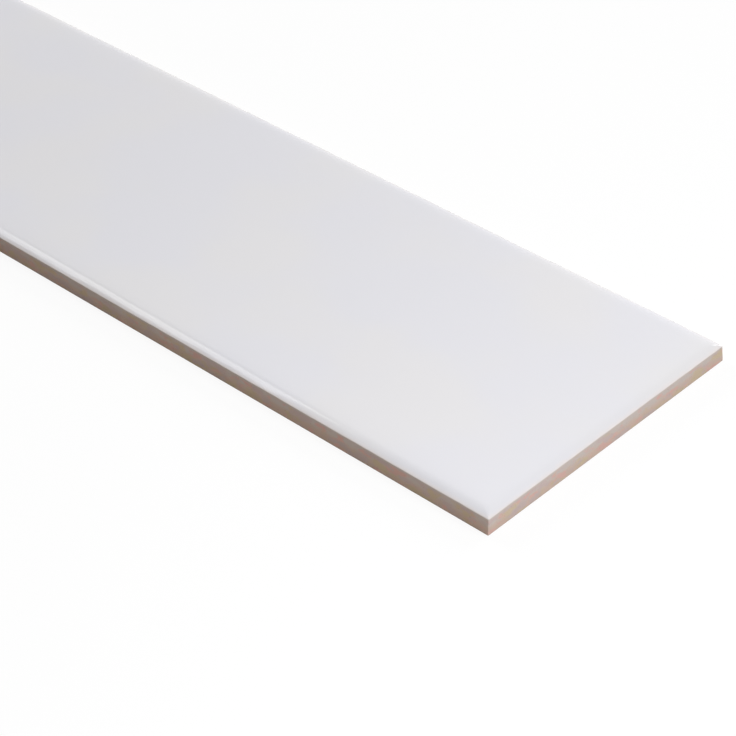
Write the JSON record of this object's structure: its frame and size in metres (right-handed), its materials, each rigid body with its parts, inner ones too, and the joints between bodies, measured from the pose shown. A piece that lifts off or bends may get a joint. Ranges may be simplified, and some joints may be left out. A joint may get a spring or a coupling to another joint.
{
  "type": "subway tile",
  "caption": "Long rectangular glazed wall tile with cushioned edges, drafted unglazed sides and a keyed back.",
  "frame": {"origin": "centre of the tile's footprint, on the surface that its back lies on", "axes": "+X along the long edges, +Y along the short edges, +Z out of the glazed face"},
  "size_m": [0.3, 0.1, 0.006],
  "materials": {
    "white_glaze": "gloss"
  },
  "bodies": {
    "root": {"tile": "white_glaze"}
  },
  "joints": []
}
